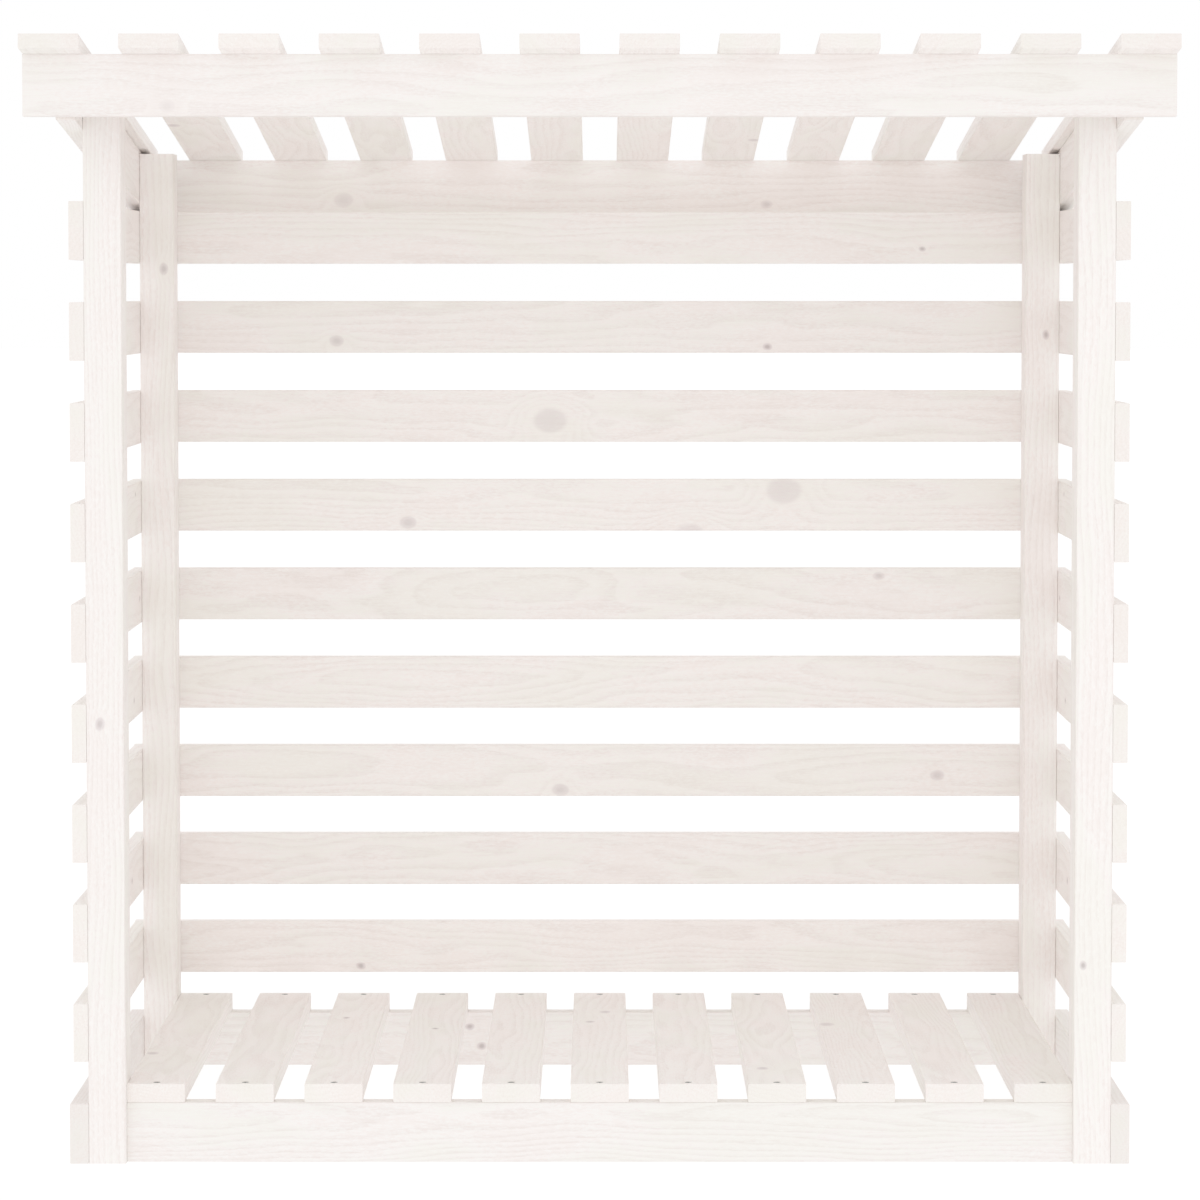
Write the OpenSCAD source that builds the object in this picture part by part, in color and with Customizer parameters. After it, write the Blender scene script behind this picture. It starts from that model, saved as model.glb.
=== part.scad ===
// Firewood rack: slatted sides, back and floor on four posts, under a slatted roof that falls to the back.
// X runs left to right, Y front to back and Z up. The origin is on the ground under the roof's middle.

/* [Posts] */
// Width of a post, seen from the front
post_w = 36; // [30:1:50]
// Depth of a post, from front to back
post_d = 45; // [36:1:60]
// Width over the outer faces of the posts
frame_w = 986; // [760:2:1300]
// Depth over the front and rear posts
frame_d = 558; // [400:1:900]
// Height of the front posts
front_post_h = 1048; // [1010:1:1200]
// Height of the rear posts
rear_post_h = 988; // [800:1:1020]

/* [Boards] */
// Width of a slat
slat_w = 56; // [45:1:70]
// Thickness of the wall and roof slats
slat_t = 14; // [10:1:18]
// Thickness of the floor slats
floor_t = 18; // [14:1:24]
// Width of the rails, rake boards and fascias
rail_w = 58; // [52:1:80]
// Thickness of the rails, rake boards and fascias
rail_t = 18; // [14:1:24]
// Chamfer along the long edges of a board
ease = 0.6; // [0.5:0.1:2]

/* [Layout] */
// Number of slats in each wall, one above the other
wall_rows = 9; // [5:1:9]
// Number of floor slats, side by side
floor_rows = 11; // [6:1:11]
// Number of roof slats, side by side
roof_rows = 12; // [8:1:12]
// Height of the lowest wall slat above the ground
wall_first = 99; // [80:1:140]
// Gap between the highest side slats and the rake boards at the back
wall_top_gap = 1; // [1:0.5:30]
// Distance from the front of the front posts to the front rail
front_rail_set = 9; // [0:1:15]
// Distance from the rake board's front end to the front posts
porch = 60; // [20:1:140]
// How far the roof reaches past the posts at each side
side_eaves = 47; // [26:1:58]
// How far the roof slats reach past the front fascia
front_lip = 30; // [5:1:60]
// How far the roof slats reach past the rear fascia
rear_lip = 8; // [5:1:60]
// Gap between the back slats and the rear fascia
fascia_gap = 24; // [1:0.5:60]

/* [Screws] */
// Diameter of a screw's shank
screw_d = 4; // [3:0.1:4.5]
// Diameter of a countersunk screw head
head_d = 7.5; // [6:0.1:9]
// Depth of the screw heads below the wood
head_sink = 0.4; // [0.1:0.1:1]
// Length of the screws through wall and roof slats
slat_screw_l = 35; // [25:1:40]
// Length of the screws through floor slats
floor_screw_l = 38; // [30:1:42]
// Length of the screws through side rails and rake boards
rail_screw_l = 40; // [30:1:45]
// Length of the screws through the posts into the rail ends
end_screw_l = 60; // [50:1:62]
// Height between the side screws and the back screws in a slat's row
stagger = 16; // [12:1:24]
// Height between the two screws that hold a rake board to a post
pair_pitch = 24; // [14:1:30]
// Distance from a post's centre to the roof screw in the rake board
rake_screw_set = 160; // [60:1:170]

/* [Fit] */
// Gap left between two boards that are screwed together
seat = 0.1; // [0.05:0.05:0.25]
// Gap round a screw in its hole
screw_gap = 0.1; // [0.05:0.05:0.2]

/* [Hidden] */
slope = atan((front_post_h - rear_post_h) / (frame_d - post_d));
// The slats touch a post's square top at its back edge where the roof falls to the back, else at its front
bearing = slope < 0 ? 0 : post_d;
roof_w = frame_w + 2 * side_eaves;
roof_d = front_lip + rear_lip + 2 * rail_t + porch + frame_d + slat_t + fascia_gap;
roof_front_y = -roof_d / 2;
roof_slat_l = (roof_d - slat_t * sin(slope)) / cos(slope);
front_fascia_y = roof_front_y + front_lip;
rear_fascia_y = -roof_front_y - rear_lip - rail_t;
front_y = front_fascia_y + rail_t + porch;
rear_y = front_y + frame_d;
back_y = rear_y + seat + slat_t;
post_ys = [front_y + post_d / 2, rear_y - post_d / 2];
front_rail_y = front_y + front_rail_set;
rear_rail_y = rear_y - rail_t;
rail_ys = [front_rail_y + rail_t / 2, rear_rail_y + rail_t / 2];
inner_w = frame_w - 2 * post_w;
side_x = frame_w / 2 + seat;
rake_x = side_x + rail_t / 2;
rake_l = rear_fascia_y - front_fascia_y - rail_t - 2 * seat;
wall_top = min(rake_bottom(front_y), rake_bottom(back_y)) - wall_top_gap;
wall_pitch = (wall_top - wall_first - slat_w) / (wall_rows - 1);
floor_w = inner_w - 2 * seat;
floor_pitch = (floor_w - slat_w) / (floor_rows - 1);
floor_top = rail_w + seat + floor_t;
roof_pitch = (roof_w - slat_w) / (roof_rows - 1);
head_h = (head_d - screw_d) / 2;
tip_l = 4;
cross_w = 1;
cross_l = 4.4;
cross_h = 2;
// Heights of the screws through the side rails, and of those into the rail ends, which lie between them
side_rail_zs = [21, 45];
end_screw_zs = [12, 30];
overcut = 1;
wood = [0.93, 0.91, 0.89];
steel = [0.72, 0.72, 0.70];

function numbered(name, count) = [for (i = [1:count]) str(name, "_", i)];

// Height of the underside of the roof slats
function roof_z(y) = front_post_h + seat - (y - front_y - bearing) * tan(slope);
function rake_bottom(y) = roof_z(y) - (seat + rail_w) / cos(slope);
function wall_z(i) = wall_first + (i - 1) * wall_pitch;
function floor_x(i) = -floor_w / 2 + (i - 1) * floor_pitch;
function roof_x(i) = -roof_w / 2 + (i - 1) * roof_pitch;

module eased_outline(a, b) {
    polygon([
        [ease, 0], [a - ease, 0], [a, ease], [a, b - ease],
        [a - ease, b], [ease, b], [0, b - ease], [0, ease]
    ]);
}

// A board with eased long edges, from the origin to its far corner at size
module board_x(size) {
    rotate([90, 0, 90]) linear_extrude(size.x) eased_outline(size.y, size.z);
}

module board_y(size) {
    translate([0, size.y, 0]) rotate([90, 0, 0]) linear_extrude(size.y) eased_outline(size.x, size.z);
}

module board_z(size) {
    linear_extrude(size.z) eased_outline(size.x, size.y);
}

module both_sides() {
    children();
    mirror([1, 0, 0]) children();
}

// The roof's own frame: Y runs down the slope and Z = 0 is the underside of the slats
module on_roof() {
    translate([0, roof_front_y, roof_z(roof_front_y)]) rotate([-slope, 0, 0]) children();
}

// A countersunk wood screw that points down from a head just under Z = 0
module screw(length) {
    translate([0, 0, -head_sink])
    difference() {
        rotate_extrude($fn = 24)
            polygon([
                [0, 0], [head_d / 2, 0], [screw_d / 2, -head_h],
                [screw_d / 2, tip_l - length], [0, -length]
            ]);
        for (turn = [0, 90])
            rotate(turn)
            translate([-cross_l / 2, -cross_w / 2, -cross_h])
            cube([cross_l, cross_w, cross_h + overcut]);
    }
}

// The hole for that screw, open above Z = 0
module screw_hole(length) {
    translate([0, 0, -head_sink])
    rotate_extrude($fn = 24)
        polygon([
            [0, head_sink + overcut], [head_d / 2 + screw_gap, head_sink + overcut],
            [head_d / 2 + screw_gap, 0], [screw_d / 2 + screw_gap, -head_h],
            [screw_d / 2 + screw_gap, -length - screw_gap], [0, -length - screw_gap]
        ]);
}

// Places of the screws. Those in the walls and the frame are given for the right side
module at_side_slat_screws(i) {
    for (y = post_ys)
        translate([side_x + slat_t, y, wall_z(i) + (slat_w + stagger) / 2]) rotate([0, 90, 0]) children();
}

module at_back_slat_screws(i) {
    translate([(frame_w - post_w) / 2, back_y, wall_z(i) + (slat_w - stagger) / 2])
        rotate([-90, 0, 0]) children();
}

module at_side_rail_screws() {
    for (y = post_ys, z = side_rail_zs)
        translate([side_x + rail_t, y, z]) rotate([0, 90, 0]) children();
}

module at_rail_end_screws() {
    for (y = rail_ys, z = end_screw_zs)
        translate([frame_w / 2, y, z]) rotate([0, 90, 0]) children();
}

module at_rake_post_screws() {
    for (y = post_ys, side = [-1, 1])
        translate([side_x + rail_t, y, (roof_z(y) + rake_bottom(y) + side * pair_pitch) / 2])
            rotate([0, 90, 0]) children();
}

module at_floor_screws(i) {
    for (y = rail_ys)
        translate([floor_x(i) + slat_w / 2, y, floor_top]) children();
}

module at_roof_screws(i) {
    for (y = [front_fascia_y + rail_t / 2, rear_fascia_y + rail_t / 2])
        on_roof() translate([roof_x(i) + slat_w / 2, (y - roof_front_y) / cos(slope), slat_t]) children();
}

module at_rake_top_screws() {
    for (y = [post_ys[0] + rake_screw_set, post_ys[1] - rake_screw_set])
        on_roof() translate([rake_x, (y - roof_front_y) / cos(slope), slat_t]) children();
}

// The posts stand upright, with tops sawn square
module front_post() {
    color(wood)
    difference() {
        translate([inner_w / 2, front_y, 0]) board_z([post_w, post_d, front_post_h]);
        for (i = [1:wall_rows]) at_side_slat_screws(i) screw_hole(slat_screw_l);
        at_side_rail_screws() screw_hole(rail_screw_l);
        at_rail_end_screws() screw_hole(end_screw_l);
        at_rake_post_screws() screw_hole(rail_screw_l);
    }
}

module rear_post() {
    color(wood)
    difference() {
        translate([inner_w / 2, rear_y - post_d, 0]) board_z([post_w, post_d, rear_post_h]);
        for (i = [1:wall_rows]) {
            at_side_slat_screws(i) screw_hole(slat_screw_l);
            at_back_slat_screws(i) screw_hole(slat_screw_l);
        }
        at_side_rail_screws() screw_hole(rail_screw_l);
        at_rail_end_screws() screw_hole(end_screw_l);
        at_rake_post_screws() screw_hole(rail_screw_l);
    }
}

module side_rail() {
    color(wood)
    difference() {
        translate([side_x, front_y, 0]) board_y([rail_t, frame_d, rail_w]);
        at_side_rail_screws() screw_hole(rail_screw_l);
    }
}

// A bottom rail between two posts, which carries the floor slats' ends
module cross_rail(y) {
    color(wood)
    difference() {
        translate([-floor_w / 2, y, 0]) board_x([floor_w, rail_t, rail_w]);
        both_sides() at_rail_end_screws() screw_hole(end_screw_l);
        for (i = [1:floor_rows]) at_floor_screws(i) screw_hole(floor_screw_l);
    }
}

// The board under the roof's side edge, parallel to the roof, with plumb ends
module rake_board() {
    color(wood)
    difference() {
        intersection() {
            on_roof() translate([side_x, 0, -seat - rail_w]) board_y([rail_t, roof_slat_l, rail_w]);
            translate([side_x - overcut, front_fascia_y + rail_t + seat, 0])
                cube([rail_t + 2 * overcut, rake_l, front_post_h + roof_d]);
        }
        at_rake_post_screws() screw_hole(rail_screw_l);
        at_rake_top_screws() screw_hole(slat_screw_l);
    }
}

// A board across the roof's front or back edge: its top is planed to the slope
module fascia(y) {
    tops = [roof_z(y) - seat, roof_z(y + rail_t) - seat];
    bottom = max(tops) - rail_w;
    color(wood)
    difference() {
        translate([-roof_w / 2, y, bottom])
            rotate([90, 0, 90])
            linear_extrude(roof_w)
            polygon([
                [ease, 0], [rail_t - ease, 0], [rail_t, ease],
                [rail_t, tops[1] - bottom], [0, tops[0] - bottom], [0, ease]
            ]);
        for (i = [1:roof_rows]) at_roof_screws(i) screw_hole(slat_screw_l);
    }
}

// Row i of the side walls: one slat on the left and one on the right
module side_slat_pair(i) {
    color(wood)
    both_sides()
    difference() {
        translate([side_x, front_y, wall_z(i)]) board_y([slat_t, frame_d, slat_w]);
        at_side_slat_screws(i) screw_hole(slat_screw_l);
    }
}

// Slat i of the back wall, which also covers the ends of the side slats
module back_slat(i) {
    color(wood)
    difference() {
        translate([-side_x - slat_t, rear_y + seat, wall_z(i)])
            board_x([2 * (side_x + slat_t), slat_t, slat_w]);
        both_sides() at_back_slat_screws(i) screw_hole(slat_screw_l);
    }
}

module floor_slat(i) {
    color(wood)
    difference() {
        translate([floor_x(i), front_rail_y, rail_w + seat])
            board_y([slat_w, rear_y - front_rail_y, floor_t]);
        at_floor_screws(i) screw_hole(floor_screw_l);
    }
}

module roof_slat(i) {
    color(wood)
    difference() {
        on_roof() translate([roof_x(i), 0, 0]) board_y([slat_w, roof_slat_l, slat_t]);
        at_roof_screws(i) screw_hole(slat_screw_l);
        if (i == 1 || i == roof_rows) both_sides() at_rake_top_screws() screw_hole(slat_screw_l);
    }
}

module side_wall_screws() {
    color(steel)
    both_sides()
    for (i = [1:wall_rows]) at_side_slat_screws(i) screw(slat_screw_l);
}

module back_wall_screws() {
    color(steel)
    both_sides()
    for (i = [1:wall_rows]) at_back_slat_screws(i) screw(slat_screw_l);
}

module floor_screws() {
    color(steel)
    for (i = [1:floor_rows]) at_floor_screws(i) screw(floor_screw_l);
}

// The screws down through the roof slats, into the fascias and the rake boards
module roof_screws() {
    color(steel) {
        for (i = [1:roof_rows]) at_roof_screws(i) screw(slat_screw_l);
        both_sides() at_rake_top_screws() screw(slat_screw_l);
    }
}

// The screws that hold the bottom rails to the posts
module base_screws() {
    color(steel)
    both_sides() {
        at_side_rail_screws() screw(rail_screw_l);
        at_rail_end_screws() screw(end_screw_l);
    }
}

// The screws that hold the rake boards to the posts
module rake_screws() {
    color(steel)
    both_sides() at_rake_post_screws() screw(rail_screw_l);
}

mirror([1, 0, 0]) front_post();  // front_left_post
front_post();  // front_right_post
mirror([1, 0, 0]) rear_post();  // rear_left_post
rear_post();  // rear_right_post
mirror([1, 0, 0]) side_rail();  // left_side_rail
side_rail();  // right_side_rail
cross_rail(front_rail_y);  // front_rail
cross_rail(rear_rail_y);  // rear_rail
mirror([1, 0, 0]) rake_board();  // left_rake_board
rake_board();  // right_rake_board
fascia(front_fascia_y);  // front_fascia
fascia(rear_fascia_y);  // rear_fascia
for (i = [1:wall_rows]) {
    side_slat_pair(i);
    back_slat(i);
}
for (i = [1:floor_rows]) floor_slat(i);
for (i = [1:roof_rows]) roof_slat(i);
side_wall_screws();
back_wall_screws();
floor_screws();
roof_screws();
base_screws();
rake_screws();
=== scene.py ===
import math
import random

import bpy
from mathutils import Euler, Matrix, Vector


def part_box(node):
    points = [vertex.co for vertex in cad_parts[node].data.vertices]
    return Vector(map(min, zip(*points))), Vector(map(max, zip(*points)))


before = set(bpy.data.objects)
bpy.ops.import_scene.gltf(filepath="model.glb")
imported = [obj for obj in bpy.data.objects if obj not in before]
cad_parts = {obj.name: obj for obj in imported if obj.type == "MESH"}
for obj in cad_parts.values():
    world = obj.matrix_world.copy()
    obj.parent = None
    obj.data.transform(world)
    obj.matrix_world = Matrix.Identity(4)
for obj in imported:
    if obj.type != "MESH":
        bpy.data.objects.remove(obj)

print("frame loaded:", len(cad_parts), "CAD nodes")
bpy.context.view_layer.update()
mm = 0.001


def srgb(red, green, blue):
    # A screen colour, 0 to 255, as the linear light that Blender mixes
    def linear(c):
        c = c / 255
        return c / 12.92 if c <= 0.04045 else ((c + 0.055) / 1.055) ** 2.4
    return (linear(red), linear(green), linear(blue), 1.0)


class Value:
    # A number socket that adds Math nodes when it is used in an expression
    def __init__(self, maker, socket):
        self.maker = maker
        self.socket = socket

    def math(self, operation, *others):
        return self.maker.number("ShaderNodeMath", {"operation": operation}, [self, *others])

    def __add__(self, other):
        return self.math("ADD", other)

    def __sub__(self, other):
        return self.math("SUBTRACT", other)

    def __rsub__(self, other):
        return self.maker.number("ShaderNodeMath", {"operation": "SUBTRACT"}, [other, self])

    def __mul__(self, other):
        return self.math("MULTIPLY", other)

    def __truediv__(self, other):
        return self.math("DIVIDE", other)

    def __abs__(self):
        return self.math("ABSOLUTE")

    __radd__ = __add__
    __rmul__ = __mul__


class Maker:
    # Builds the node tree of a material or a world
    def __init__(self, owner):
        self.owner = owner
        owner.use_nodes = True
        self.tree = owner.node_tree
        self.tree.nodes.clear()

    def node(self, kind, settings=None, inputs=None):
        # Settings go first, because they can change the sockets. Inputs go by position or by name
        made = self.tree.nodes.new(kind)
        for key, value in (settings or {}).items():
            setattr(made, key, value)
        pairs = inputs.items() if isinstance(inputs, dict) else enumerate(inputs or [])
        for key, value in pairs:
            if isinstance(value, Value):
                value = value.socket
            if isinstance(value, bpy.types.NodeSocket):
                self.tree.links.new(value, made.inputs[key])
            else:
                made.inputs[key].default_value = value
        return made

    def number(self, kind, settings=None, inputs=None, output=0):
        return Value(self, self.node(kind, settings, inputs).outputs[output])

    def vector(self, operation, *inputs):
        return self.node("ShaderNodeVectorMath", {"operation": operation}, inputs).outputs[0]

    def length(self, vector):
        return self.number("ShaderNodeVectorMath", {"operation": "LENGTH"}, [vector], "Value")

    def ramp(self, value, low, high, start=0.0, end=1.0):
        # A smooth step from start, where value is low, to end, where it is high
        settings = {"interpolation_type": "SMOOTHSTEP"}
        return self.number("ShaderNodeMapRange", settings, [value, low, high, start, end])

    def noise(self, vector, features, offset=(0, 0, 0), detail=2.0, roughness=0.5):
        # features is the size of the pattern's features along each axis of vector
        placed = self.vector("MULTIPLY_ADD", vector, tuple(1 / f for f in features), offset)
        inputs = {"Vector": placed, "Scale": 1.0, "Detail": detail, "Roughness": roughness}
        return self.node("ShaderNodeTexNoise", {"noise_dimensions": "3D"}, inputs)

    def mix(self, factor, first, second):
        # A mix of two colours: sockets 6 and 7 are the node's colour inputs, and output 2 its colour
        inputs = {0: factor, 6: first, 7: second}
        return self.node("ShaderNodeMix", {"data_type": "RGBA"}, inputs).outputs[2]

    def finish(self, shader, kind="ShaderNodeOutputMaterial"):
        self.node(kind, None, [shader])
        return self.owner


# Boards: the wash and the pine under it. Lengths are in mm
pine = {
    "wash": srgb(249, 245.5, 243),
    "washPink": srgb(248.5, 243, 240.5),
    "washGreen": srgb(247, 244.5, 240),
    "pinkWhere": (0.46, 0.62),  # the part of the drifting hue over which the wash turns pink
    "greenWhere": (0.5, 0.36),
    "toneSpread": 0.06,  # how much one board's hue differs from the next
    "shadeSpread": (0.995, 1.015),  # and its brightness
    "wood": srgb(228, 214, 204),
    "lateWood": srgb(200, 179, 167),  # the dark side of each growth ring
    "knot": srgb(160, 131, 144),
    "knotHeart": srgb(120, 103, 98),
    "endGrain": srgb(224, 213, 202),
    "roughness": 0.62,
    "bumpStrength": 0.5,
    "bumpDepth": 0.25,
    "ringWidth": 4.6,
    "ringSpread": (0.75, 1.35),  # the narrowest and widest rings, as shares of that
    "ringBend": 44,  # how far the rings wander over a board's length
    "ringRipple": 5,  # and over a hand's breadth
    "pithAcross": 26,  # the most that the rings' centre lies beside a board's middle
    "pithDepth": (24, 70),  # how far it lies behind or in front
    "knotStretch": 1.35,  # a knot's length against its width
    "knotRim": 4,  # how uneven a knot's outline is
    "knotPush": 1.1,  # how far a knot pushes the rings aside, in knot radii
    "knotReach": 3.0,  # and how far from its middle it does so
    "knotStrength": 0.12,  # how far a wide knot's colour covers the wash
    "smallKnotStrength": 0.1,  # how much further a small one's does
    "smallKnotRadius": 4,
    "heartStrength": 0.3,  # the dark heart of a small knot
    "ringsNearKnot": 0.9,  # how much of the late wood's colour fades beside a knot
    "roofSlatThickness": 14,
    "rakeBoardWidth": 58,
    "leftSlatShift": 20,  # moves the pattern of a pair's left slat, per metre from the middle plane
}

# Size of each pattern's features along a board, across it and through it, in mm
grain = {
    "bend": (420, 85, 85),
    "ripple": (90, 16, 16),
    "fibre": (38, 1.5, 1.5),
    "fleck": (6, 1.8, 1.8),
    "drift": (150, 45, 45),
    "cloud": (130, 34, 34),
}

# How much of the pine shows through the wash: everywhere, and what each mark adds
showing = {
    "everywhere": 0.05,
    "lateWood": 0.065,
    "thickWash": 0.04,  # taken from the late wood where the wash lies thick
    "fibre": 0.06,
    "fleck": 0.36,
    "nearKnot": 0.04,
    "wornEdge": 0.07,
    "sawnEnd": 0.14,
}

# How far each mark stands out from the face or sinks into it, as shares of the bump's depth
relief = {"fibre": 0.5, "lateWood": 0.3, "thickWash": 0.15, "fleck": 0.3, "knot": 2}

# Knots that the photograph shows: place along the board and across its face from the middle, and
# radius, in mm. The last value is True on the narrow faces of a post
knotsSeen = {
    "rear_fascia": [(-279, -14, 8, False), (181, -19, 5, False)],
    "back_slat_9": [(349, -12, 3, False)],
    "back_slat_8": [(-285, -15, 6, False), (182, -21, 4, False)],
    "back_slat_7": [(-54, -5, 13.5, False)],
    "back_slat_6": [(200, 16, 14.5, False), (-208, -19, 7, False), (97, -33, 13, False)],
    "back_slat_5": [(303, 19.5, 5, False)],
    "back_slat_3": [(-43, -21, 7, False), (368, -5, 6, False)],
    "back_slat_1": [(-260, -21, 4, False)],
    "front_left_post": [(-98, 4.8, 5, True)],
    "front_right_post": [(-331, 9, 3.5, True)],
    "rear_left_post": [(371, -7.3, 5, True)],
    "rear_right_post": [(301, -3.8, 4, True)],
    "front_fascia": [(-405, -19, 6, False)],
    "rear_rail": [(-141, 13, 4, False), (-128, -8, 4, False)],
    "roof_slat_2": [(96, 22, 7, False)],
    "roof_slat_8": [(196, -23, 7, False)],
    "floor_slat_1": [(-104, 20, 6, False)],
    "floor_slat_3": [(110, 10, 4, False)],
    "floor_slat_4": [(43, -1, 4, False)],
    "floor_slat_6": [(148, -6, 6, False), (85, 10, 5, False)],
    "floor_slat_8": [(-190, 11, 6, False)],
    "floor_slat_9": [(69, 20, 8, False)],
}
# The share of a board's knots that the wash leaves bare, where it isn't all
knotBare = {"front_fascia": 0.35, "rear_fascia": 0.7, "back_slat_5": 0.75}

# Knots elsewhere are scattered. reach says how far along its half length each kind of board has
# them: the photograph shows the rear half of the roof slats from below
scattered = {
    "count": [0, 0, 1, 1, 1, 2, 2, 3],
    "across": 0.6,
    "radius": (2.5, 7.5),
    "reach": {"roof_slat": -0.1, "side_slat": 0.9, "left_": 0.9, "right_": 0.9},
}

# How bright each board's wash is made against the rest, as the photograph shows it: partly the board's
# own tone, partly painted light and shade that lifts shaded boards such as the rear posts, the rear
# fascia and roof_slat_3's underside, and darkens others
boardToneAndPaintedLight = {
    "front_fascia": 0.975, "front_rail": 0.975, "rear_fascia": 1.03, "rear_rail": 0.955,
    "left_side_rail": 0.95, "right_side_rail": 0.96, "back_slat_1": 1.03, "back_slat_8": 0.985,
    "rear_left_post": 1.02, "rear_right_post": 1.02, "roof_slat_3": 1.02, "floor_slat_3": 1.02,
}

# The roof's fall to the rear, from the tops of the posts
slope = math.atan2(
    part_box("front_left_post")[1].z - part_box("rear_left_post")[1].z,
    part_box("rear_left_post")[1].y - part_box("front_left_post")[1].y,
)


def boardFrame(name):
    # The rotation that lays the board along X, its middle, its size along X, Y and Z there, and
    # whether it is a pair, of which these are the right slat's
    low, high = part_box(name)
    pair = name.startswith("side_slat_pair")
    if pair:
        low = Vector((abs(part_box("rear_right_post")[1].x), low.y, low.z))
    size = high - low
    middle = (low + high) / 2
    roofSlat = name.startswith("roof_slat")
    if roofSlat or name.endswith("rake_board"):
        turn = Euler((slope, 0, -math.pi / 2))
        height = pine["roofSlatThickness"] if roofSlat else pine["rakeBoardWidth"]
        size = Vector((size.y / math.cos(slope), size.x, height * mm))
    elif size.z == max(size):
        turn = Euler((0, math.pi / 2, 0))
        size = Vector((size.z, size.y, size.x))
    elif size.y == max(size):
        turn = Euler((0, 0, -math.pi / 2))
        size = Vector((size.y, size.x, size.z))
    else:
        turn = Euler((0, 0, 0))
    return turn, middle, size, pair


def scatterKnots(dice, size, reach):
    # Zero to three knots where the photograph doesn't show a board closely
    count = dice.choice(scattered["count"])
    halfWidth = max(size.y, size.z) / mm / 2
    halfLength = size.x / mm / 2
    spots = []
    for i in range(count):
        along = dice.uniform(-0.9, reach) * halfLength
        across = dice.uniform(-scattered["across"], scattered["across"]) * halfWidth
        spots.append((along, across, dice.uniform(*scattered["radius"]), False))
    return spots


def layCoordinates(m, turn, middle, pair):
    # Object coordinates in the board's own frame, in mm, for its shape and for its patterns. Both
    # slats of a pair use the right one's frame, and the left one's patterns are shifted
    placed = m.node("ShaderNodeTexCoord").outputs["Object"]
    if pair:
        parts = m.node("ShaderNodeSeparateXYZ", None, [placed]).outputs
        sideways = Value(m, parts[0])
        placed = m.node("ShaderNodeCombineXYZ", None, [abs(sideways), parts[1], parts[2]]).outputs[0]
        leftShift = sideways * pine["leftSlatShift"]
    shift = -(turn.to_matrix() @ middle) / mm
    local = m.node("ShaderNodeMapping", None, {
        "Vector": placed, "Location": shift, "Rotation": turn, "Scale": (1 / mm, 1 / mm, 1 / mm),
    }).outputs[0]
    if not pair:
        return local, local
    shifted = m.node("ShaderNodeCombineXYZ", None, [leftShift]).outputs[0]
    return local, m.vector("ADD", local, shifted)


def strongest(first, second):
    # The larger of two masks, of which the first may be missing
    return second if first is None else first.math("MAXIMUM", second)


def layKnots(m, name, knots, local, ripple, broad, thin, radius):
    # Each knot is an uneven cylinder through the board, and swells the rings' radius round itself.
    # Gives the new radius, and masks of the knots, their hearts and the wood near them
    mask = heart = near = None
    bare = knotBare.get(name, 1.0)
    rim = pine["knotRim"]
    for along, across, knotRadius, edge in knots:
        sideways = thin if edge else broad
        scale = (
            1 / (pine["knotStretch"] * knotRadius),
            sideways[1] / knotRadius,
            sideways[2] / knotRadius,
        )
        place = (along + rim / 2, across + rim / 2, across + rim / 2)
        offset = tuple(-p * s for p, s in zip(place, scale))
        uneven = m.vector("MULTIPLY_ADD", ripple, tuple(rim * s for s in scale), offset)
        away = m.length(m.vector("MULTIPLY_ADD", local, scale, uneven))  # 1 at the knot's outline
        closeBy = m.ramp(away, pine["knotReach"], 0.6)
        radius = radius + closeBy * (knotRadius * pine["knotPush"])
        # The wash makes a wide knot paler than a small one
        darkness = min(1.0, pine["smallKnotRadius"] / knotRadius)
        strength = bare * (pine["knotStrength"] + pine["smallKnotStrength"] * darkness)
        heartStrength = bare * pine["heartStrength"] * darkness ** 2
        mask = strongest(mask, m.ramp(away, 1.15, 0.75, 0.0, strength))
        heart = strongest(heart, m.ramp(away, 0.8, 0.2, 0.0, heartStrength))
        near = strongest(near, closeBy)
    return radius, mask, heart, near


def wornEdges(m, local, size, flat, fibre):
    # Most on the board's long edges, unevenly along the fibres, and none from about 2 mm inwards
    parts = m.node("ShaderNodeSeparateXYZ", None, [local]).outputs
    broadPart, thinPart = (parts[1], parts[2]) if flat else (parts[2], parts[1])
    halfBroad = max(size.y, size.z) / mm / 2
    halfThin = min(size.y, size.z) / mm / 2
    fromSide = halfBroad - abs(Value(m, broadPart))
    fromEdge = fromSide.math("MAXIMUM", halfThin - abs(Value(m, thinPart)))
    return m.ramp(fromEdge + fibre * 2, 3.2, 0.9)


def sawnEnds(m, turn):
    # 1 on the faces across the board
    normal = m.node("ShaderNodeNewGeometry").outputs["True Normal"]
    axis = tuple(turn.to_matrix().inverted() @ Vector((1, 0, 0)))
    facing = m.number("ShaderNodeVectorMath", {"operation": "DOT_PRODUCT"}, [normal, axis], "Value")
    return m.ramp(abs(facing), 0.8, 0.95)


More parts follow.
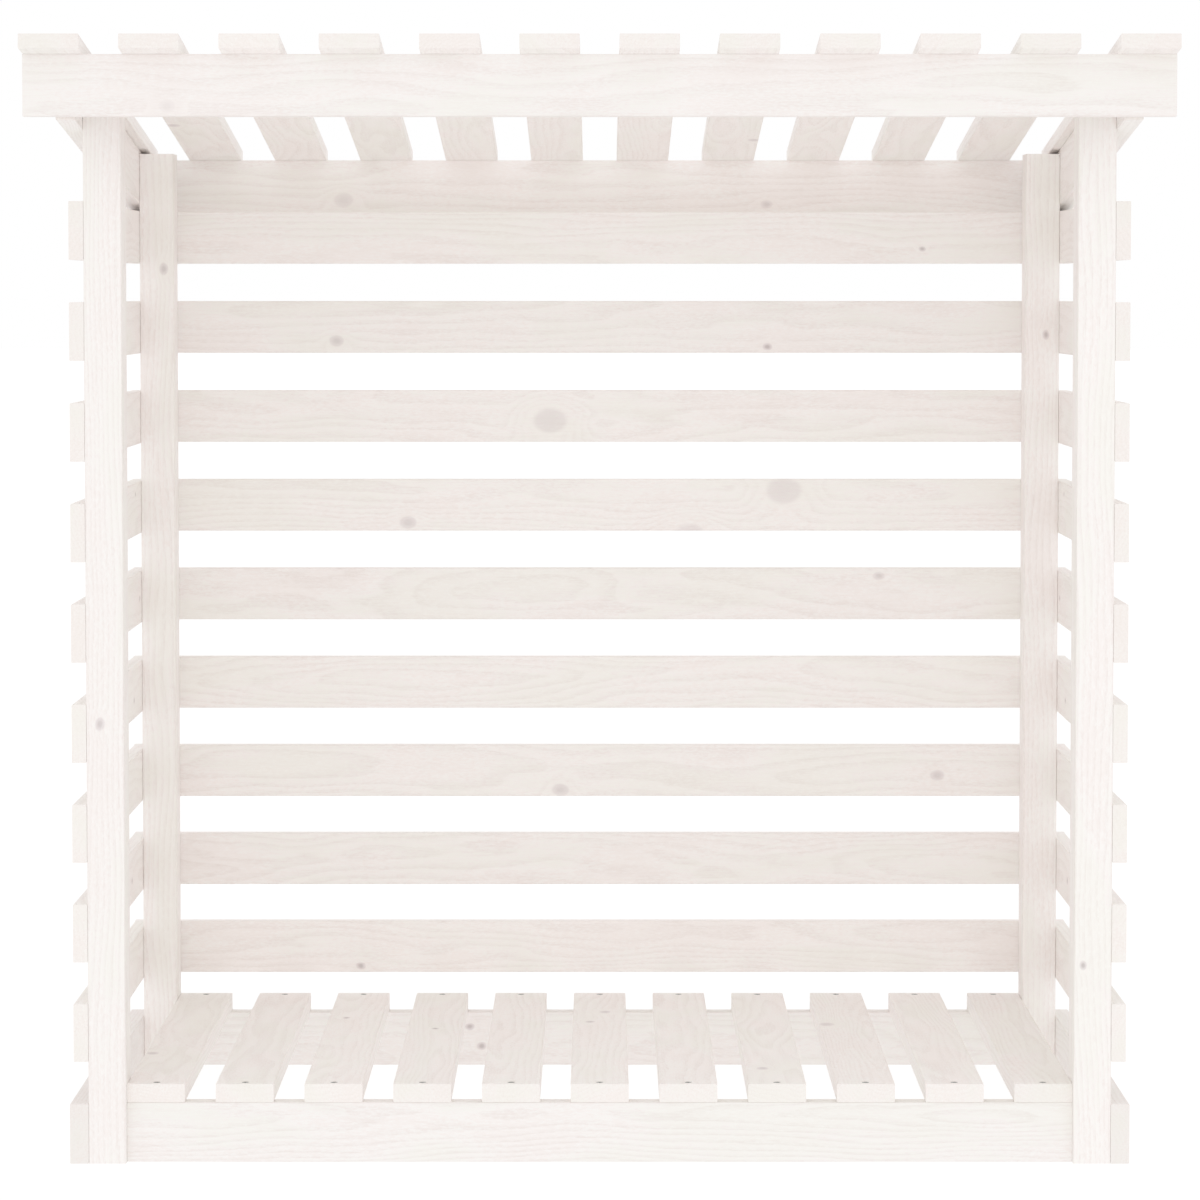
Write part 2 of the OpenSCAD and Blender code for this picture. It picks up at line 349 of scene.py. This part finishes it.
def whitewashedPine(name):
    # Solid wood: growth rings are cylinders round a pith outside the board, bent by noise and
    # pushed aside by knots
    dice = random.Random(name)
    turn, middle, size, pair = boardFrame(name)
    knots = list(knotsSeen.get(name, []))
    for start, reach in scattered["reach"].items():
        if name.startswith(start):
            knots += scatterKnots(dice, size, reach)
    # A board's brightness: a random tone of its own, or a listed value that is partly its tone and
    # partly painted light and shade
    toneAndPaintedLight = boardToneAndPaintedLight.get(name, dice.uniform(*pine["shadeSpread"]))
    wash, washPink, washGreen = (
        tuple(c * toneAndPaintedLight for c in pine[coat][:3]) + (1.0,) for coat in ("wash", "washPink", "washGreen")
    )
    m = Maker(bpy.data.materials.new("whitewashedPine." + name))
    local, textured = layCoordinates(m, turn, middle, pair)
    seed = tuple(dice.uniform(-90, 90) for i in range(3))
    backSeed = seed[::-1]
    flat = size.y > size.z  # the broad faces look along Z there, and else along Y
    broad, thin = ((0, 1, 0), (0, 0, 1)) if flat else ((0, 0, 1), (0, 1, 0))

    # Growth rings
    bend, rippled = pine["ringBend"], pine["ringRipple"]
    warp = m.noise(textured, grain["bend"], seed).outputs["Color"]
    warped = m.vector("MULTIPLY_ADD", warp, (0, bend, bend), local)
    ripple = m.noise(textured, grain["ripple"], seed).outputs["Color"]
    warped = m.vector("MULTIPLY_ADD", ripple, (0, rippled, rippled), warped)
    bendMiddle = (bend + rippled) / 2  # noise is half on average
    pithAcross = dice.uniform(-pine["pithAcross"], pine["pithAcross"])
    pithDepth = dice.choice([-1, 1]) * dice.uniform(*pine["pithDepth"])
    pith = (0,) + tuple(
        -bendMiddle - pithAcross * b - pithDepth * t for b, t in zip(broad[1:], thin[1:])
    )
    radius = m.length(m.vector("MULTIPLY_ADD", warped, (0, 1, 1), pith))
    radius, knotMask, knotHeart, knotNear = layKnots(
        m, name, knots, local, ripple, broad, thin, radius
    )
    ringWidth = pine["ringWidth"] * dice.uniform(*pine["ringSpread"])
    ring = (radius / ringWidth).math("FRACT")
    late = m.ramp(ring, 0.2, 0.85) * m.ramp(ring, 1.0, 0.88)  # darkens slowly and ends at once
    if knots:
        late = late * (1 - knotNear * pine["ringsNearKnot"])

    # Fibres and flecks, and the drift of the wash from pink to green and from thin to thick
    fibre = Value(m, m.noise(textured, grain["fibre"], seed, 3.0, 0.6).outputs[0])
    fleck = Value(m, m.noise(textured, grain["fleck"], backSeed, 2.0, 0.7).outputs[0])
    drift = Value(m, m.noise(textured, grain["drift"], seed, 3.0, 0.55).outputs[0])
    cloud = Value(m, m.noise(textured, grain["cloud"], backSeed).outputs[0])
    cover = m.ramp(cloud, 0.3, 0.72)  # 1 where the wash lies thick
    tone = dice.uniform(-pine["toneSpread"], pine["toneSpread"])
    hue = drift + fleck * 0.5 + (tone - 0.25)  # less the mean of fleck * 0.5

    # How much of the pine shows through the wash
    shows = showing["everywhere"] + late * (showing["lateWood"] - cover * showing["thickWash"])
    shows = shows + m.ramp(fibre, 0.45, 0.7) * showing["fibre"] + (fleck - 0.5) * showing["fleck"]
    if knots:
        shows = shows + knotNear * showing["nearKnot"]
    sawn = sawnEnds(m, turn)
    shows = shows + wornEdges(m, local, size, flat, fibre) * showing["wornEdge"]
    shows = (shows + sawn * showing["sawnEnd"]).math("MAXIMUM", 0.0)

    coat = m.mix(m.ramp(hue, *pine["pinkWhere"]), wash, washPink)
    coat = m.mix(m.ramp(hue, *pine["greenWhere"]), coat, washGreen)
    wood = m.mix(late, pine["wood"], pine["lateWood"])
    wood = m.mix(sawn, wood, pine["endGrain"])
    colour = m.mix(shows, coat, wood)
    roughness = pine["roughness"] + fibre * 0.16 + sawn * 0.12
    height = fibre * relief["fibre"] - late * relief["lateWood"]
    height = height + cover * relief["thickWash"] - fleck * relief["fleck"]
    if knots:
        colour = m.mix(knotMask, colour, pine["knot"])
        colour = m.mix(knotHeart, colour, pine["knotHeart"])
        roughness = roughness - knotMask * 0.4
        height = height + knotMask * relief["knot"]
    bump = m.node("ShaderNodeBump", None, {
        "Strength": pine["bumpStrength"], "Distance": pine["bumpDepth"] * mm, "Height": height,
    }).outputs[0]
    shader = m.node("ShaderNodeBsdfPrincipled", None, {
        "Base Color": colour, "Roughness": roughness, "Normal": bump,
    }).outputs[0]
    return m.finish(shader)


# Screws: zinc-plated steel, dulled in blotches. Lengths are in mm
zinc = {
    "bright": srgb(196, 197, 196),
    "dull": srgb(150, 150, 147),
    "blotch": (2.2, 2.2, 2.2),
    "scratch": (3.0, 0.25, 0.25),
    "roughness": 0.38,
    "bumpStrength": 0.3,
    "bumpDepth": 0.05,
}


def zincSteel():
    m = Maker(bpy.data.materials.new("zincSteel"))
    place = m.node("ShaderNodeTexCoord").outputs["Object"]
    local = m.vector("MULTIPLY", place, (1 / mm, 1 / mm, 1 / mm))
    blotch = Value(m, m.noise(local, zinc["blotch"], (0, 0, 0), 4.0, 0.6).outputs[0])
    scratch = Value(m, m.noise(local, zinc["scratch"], (7, 3, 1)).outputs[0])
    colour = m.mix(m.ramp(blotch, 0.35, 0.7), zinc["bright"], zinc["dull"])
    roughness = zinc["roughness"] + blotch * 0.2 + scratch * 0.1
    bump = m.node("ShaderNodeBump", None, {
        "Strength": zinc["bumpStrength"],
        "Distance": zinc["bumpDepth"] * mm,
        "Height": scratch + blotch,
    }).outputs[0]
    shader = m.node("ShaderNodeBsdfPrincipled", None, {
        "Base Color": colour, "Metallic": 1.0, "Roughness": roughness, "Normal": bump,
    }).outputs[0]
    return m.finish(shader)


steel = zincSteel()
boards = 0
for name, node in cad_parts.items():
    if name.endswith("screws"):
        finish = steel
    else:
        finish = whitewashedPine(name)
        boards += 1
    node.data.materials.clear()
    node.data.materials.append(finish)
print("boards washed:", boards)

# Studio: a pale floor that runs to the horizon, an even sky and two soft suns
studio = {
    "floorReach": 60.0,  # metres
    "floorColour": srgb(140, 140, 140),
    "floorRoughness": 0.9,
    "floorGlow": 0.8,  # with the light on its colour, this makes the floor white where nothing shades it
    "skyLight": 0.935,
    "suns": [  # strength, softness in degrees, and the way it shines
        (0.25, 120, (0.05, 1.0, -0.2)),
        (0.14, 60, (0.0, 0.55, 0.83)),
    ],
}


def seenDirectly(m):
    # 1 for what the camera, a gloss or a clear surface sees
    path = m.node("ShaderNodeLightPath").outputs
    seen = Value(m, path["Is Camera Ray"]).math("MAXIMUM", path["Is Glossy Ray"])
    return seen.math("MAXIMUM", path["Is Transmission Ray"])


def layFloor():
    reach = studio["floorReach"]
    mesh = bpy.data.meshes.new("studioFloor")
    corners = [(-reach, -reach, 0), (reach, -reach, 0), (reach, reach, 0), (-reach, reach, 0)]
    mesh.from_pydata(corners, [], [(0, 1, 2, 3)])
    floor = bpy.data.objects.new("studioFloor", mesh)
    bpy.context.scene.collection.objects.link(floor)
    m = Maker(bpy.data.materials.new("paleFloor"))
    glow = (studio["floorGlow"],) * 3 + (1.0,)
    shader = m.node("ShaderNodeBsdfPrincipled", None, {
        "Base Color": studio["floorColour"],
        "Roughness": studio["floorRoughness"],
        "Specular IOR Level": 0.0,
        "Emission Color": m.mix(seenDirectly(m), (0, 0, 0, 1), glow),
        "Emission Strength": 1.0,
    }).outputs[0]
    mesh.materials.append(m.finish(shader))
    # The sky lights the boards from below too, as in the photograph's white void
    floor.visible_diffuse = False
    floor.visible_shadow = False


def lightSky():
    m = Maker(bpy.data.worlds.new("studioSky"))
    dim = (studio["skyLight"],) * 3 + (1.0,)
    colour = m.mix(seenDirectly(m), dim, (1, 1, 1, 1))
    background = m.node("ShaderNodeBackground", None, {"Color": colour, "Strength": 1.0}).outputs[0]
    bpy.context.scene.world = m.finish(background, "ShaderNodeOutputWorld")


def hangSuns():
    for number, (strength, softness, way) in enumerate(studio["suns"], 1):
        light = bpy.data.lights.new(f"softSun{number}", "SUN")
        light.energy = strength
        light.angle = math.radians(softness)
        sun = bpy.data.objects.new(light.name, light)
        sun.rotation_euler = Vector(way).to_track_quat("-Z", "Y").to_euler()
        bpy.context.scene.collection.objects.link(sun)


layFloor()
lightSky()
hangSuns()
bpy.context.scene.view_settings.view_transform = "Standard"
print("studio lit by", len(studio["suns"]), "suns and the sky")

# Camera: the photograph's looks level, with a lens shift. Most of the shift is given back here as
# a small downward tilt, fitted so that the edges move least
view = {
    "frameSide": 1200,  # pixels, as are the next three
    "middleColumn": 599.7,
    "horizonRow": 292.3,
    "focal": 4367,
    "height": 0.840,  # metres
    "distance": 4.177,  # metres in front of the front posts
    "shift": -0.065,
    "sensor": 36,  # mm
}


def placeCamera():
    half = view["frameSide"] / 2
    shiftRows = -view["shift"] * view["frameSide"]
    tilt = math.atan2(half - shiftRows - view["horizonRow"], view["focal"])
    data = bpy.data.cameras.new("photoCamera")
    data.sensor_width = view["sensor"]
    data.lens = view["focal"] / view["frameSide"] * view["sensor"]
    data.shift_x = (half - view["middleColumn"]) / view["frameSide"]
    data.shift_y = view["shift"]
    camera = bpy.data.objects.new("photoCamera", data)
    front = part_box("front_left_post")[0].y
    camera.location = (0, front - view["distance"], view["height"])
    camera.rotation_euler = (math.pi / 2 - tilt, 0, 0)
    bpy.context.scene.collection.objects.link(camera)
    bpy.context.scene.camera = camera


placeCamera()
print("camera placed")
